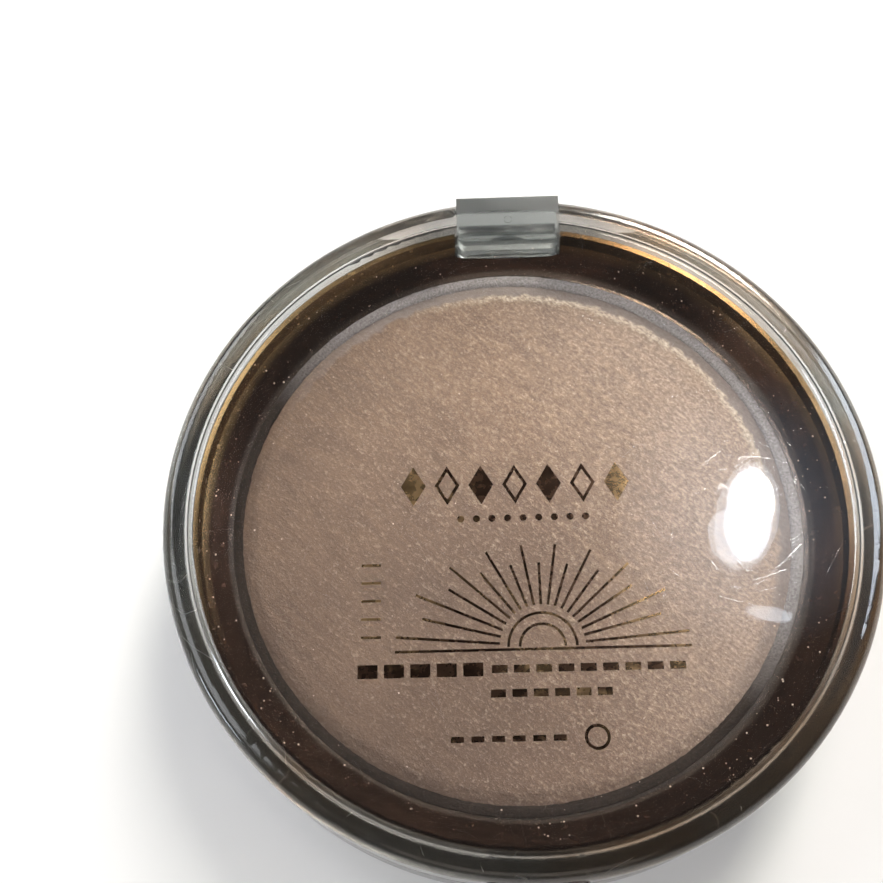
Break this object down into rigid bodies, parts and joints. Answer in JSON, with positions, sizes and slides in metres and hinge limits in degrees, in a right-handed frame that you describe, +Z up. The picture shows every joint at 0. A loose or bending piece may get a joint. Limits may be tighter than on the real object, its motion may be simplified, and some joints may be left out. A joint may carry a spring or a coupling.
{
  "type": "pressed powder compact",
  "caption": "Round pressed powder compact with a clear hinged lid, a thumb tab latch, a dark metallic inner tray and a metal pan of powder.",
  "frame": {"origin": "centre of the underside of the base, on the surface that the compact rests on", "axes": "+Z up through the lid, +Y towards the hinge, -Y towards the thumb tab, +X to the right when facing the thumb tab"},
  "size_m": [0.0726, 0.0739, 0.0146],
  "materials": {
    "clear_plastic_lid": "clear, glossy",
    "clear_plastic_base": "clear, glossy",
    "bronze_plastic": "metallised, semi-gloss",
    "pan_metal": "satin",
    "pressed_powder": "pearlescent, fine shimmer",
    "pin_steel": "drawn",
    "hot_melt": "waxy",
    "label_paper": "coated paper",
    "foil_print": "hot-stamped dark gold foil"
  },
  "bodies": {
    "base": {"base": "clear_plastic_base", "tray": "bronze_plastic", "pan": "pan_metal", "powder": "pressed_powder", "hinge_pin": "pin_steel", "pan_glue": "hot_melt", "tray_glue": "hot_melt", "base_label": "label_paper"},
    "lid": {"lid": "clear_plastic_lid", "print_sunburst": "foil_print", "print_lozenges": "foil_print", "print_bars": "foil_print"}
  },
  "joints": [
    {"name": "lid_hinge", "type": "hinge", "parent": "base", "child": "lid", "pos_m": [0, 0.0332, 0.0066], "axis": [-1, 0, 0], "range_deg": [0, 115]}
  ]
}
